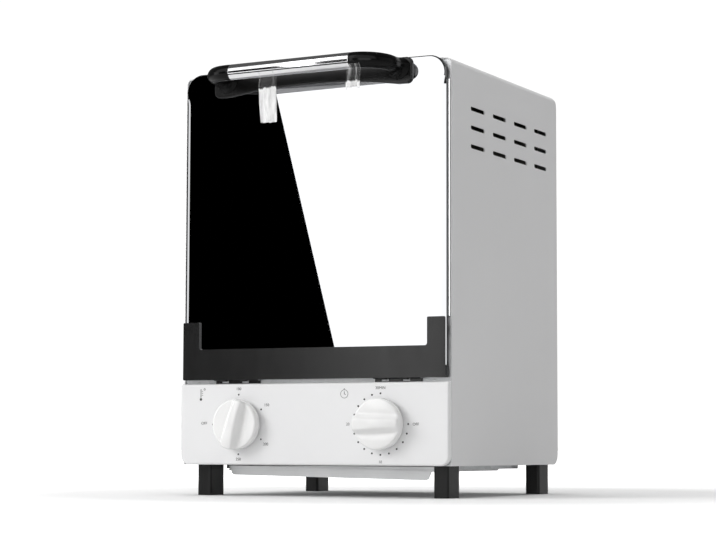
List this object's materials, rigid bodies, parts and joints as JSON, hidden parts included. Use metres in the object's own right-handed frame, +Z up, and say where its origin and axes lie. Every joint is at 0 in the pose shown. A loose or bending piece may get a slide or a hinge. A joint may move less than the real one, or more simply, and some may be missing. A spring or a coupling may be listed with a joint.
{
  "type": "dry heat sterilizer",
  "caption": "Bench-top dry heat sterilizer oven: tall painted case, drop-down dark glass door with bar handle, rotary temperature and timer knobs, wire rack and trays.",
  "frame": {"origin": "on the floor plane under the middle of the object's bounding box", "axes": "+X to the right seen from the front, -Y out of the door, +Z up"},
  "size_m": [0.25, 0.294, 0.359],
  "materials": {
    "case_paint": "satin light grey paint",
    "panel_paint": "satin off-white paint",
    "galvanised": "dull galvanised sheet",
    "liner_steel": "brushed stainless sheet",
    "polished_steel": "polished stainless",
    "screw_steel": "zinc-plated",
    "rack_chrome": "chrome-plated wire",
    "tray_aluminium": "satin rolled aluminium",
    "element_sheath": "heat-tinted sheath",
    "black_plastic": "moulded, lightly grained",
    "handle_plastic": "smooth moulded",
    "trim_black": "satin black",
    "knob_white": "smooth moulded",
    "door_glass": "dark mirror-coated",
    "clear_film": "crinkled clear film",
    "ceramic": "unglazed",
    "silicone": "matte",
    "wool": "felted mineral wool",
    "phenolic": "moulded phenolic",
    "print_ink": "screen print",
    "wire_sheath": "glass-braid sleeve",
    "copper": "drawn copper"
  },
  "bodies": {
    "root": {"outer_shell": "case_paint", "back_cover": "case_paint", "back_cover_screws": "screw_steel", "base_pan": "galvanised", "front_frame": "galvanised", "door_seal": "silicone", "control_panel": "panel_paint", "dial_marks": "print_ink", "chamber_liner": "liner_steel", "rack_rails": "liner_steel", "insulation_blanket": "wool", "upper_elements": "element_sheath", "lower_elements": "element_sheath", "element_insulators": "ceramic", "thermostat_body": "phenolic", "thermostat_bulb": "copper", "timer_body": "galvanised", "control_nuts": "screw_steel", "terminal_block": "ceramic", "thermal_cutout": "phenolic", "wiring_harness": "wire_sheath", "cable_gland": "black_plastic", "feet": "black_plastic", "foot_screws": "screw_steel", "hinge_bracket_left": "trim_black", "hinge_bracket_right": "trim_black", "hinge_pins": "screw_steel", "tray_guides": "galvanised"},
    "door": {"door_glass": "door_glass", "bottom_trim": "trim_black", "side_channel_left": "polished_steel", "side_channel_right": "polished_steel", "handle_backplate": "trim_black", "handle_end_left": "handle_plastic", "handle_end_right": "handle_plastic", "handle_sleeve": "polished_steel", "handle_core": "handle_plastic", "handle_screws": "screw_steel", "film_tab_left": "clear_film", "film_tab_right": "clear_film"},
    "temperature_dial": {"temperature_knob": "knob_white", "thermostat_shaft": "screw_steel"},
    "timer_dial": {"timer_knob": "knob_white", "timer_shaft": "screw_steel"},
    "rack": {"wire_rack": "rack_chrome", "instrument_tray": "tray_aluminium"},
    "crumb_drawer": {"crumb_tray": "tray_aluminium"}
  },
  "joints": [
    {"name": "door_hinge", "type": "hinge", "parent": "root", "child": "door", "pos_m": [0, -0.0996, 0.0987], "axis": [1, 0, 0], "range_deg": [0, 90]},
    {"name": "temperature_turn", "type": "hinge", "parent": "root", "child": "temperature_dial", "pos_m": [-0.0675, -0.102, 0.0597], "axis": [0, 1, 0], "range_deg": [-106, 164]},
    {"name": "timer_turn", "type": "hinge", "parent": "root", "child": "timer_dial", "pos_m": [0.065, -0.102, 0.0597], "axis": [0, 1, 0], "range_deg": [0, 270]},
    {"name": "rack_slide", "type": "slide", "parent": "root", "child": "rack", "axis": [0, -1, 0], "range_m": [0, 0.112]},
    {"name": "crumb_tray_slide", "type": "slide", "parent": "root", "child": "crumb_drawer", "axis": [0, -1, 0], "range_m": [0, 0.12]}
  ],
  "couplings": [
    {"joint": "rack_slide", "follows": "door_hinge", "m_per_rad": 0.07}
  ]
}
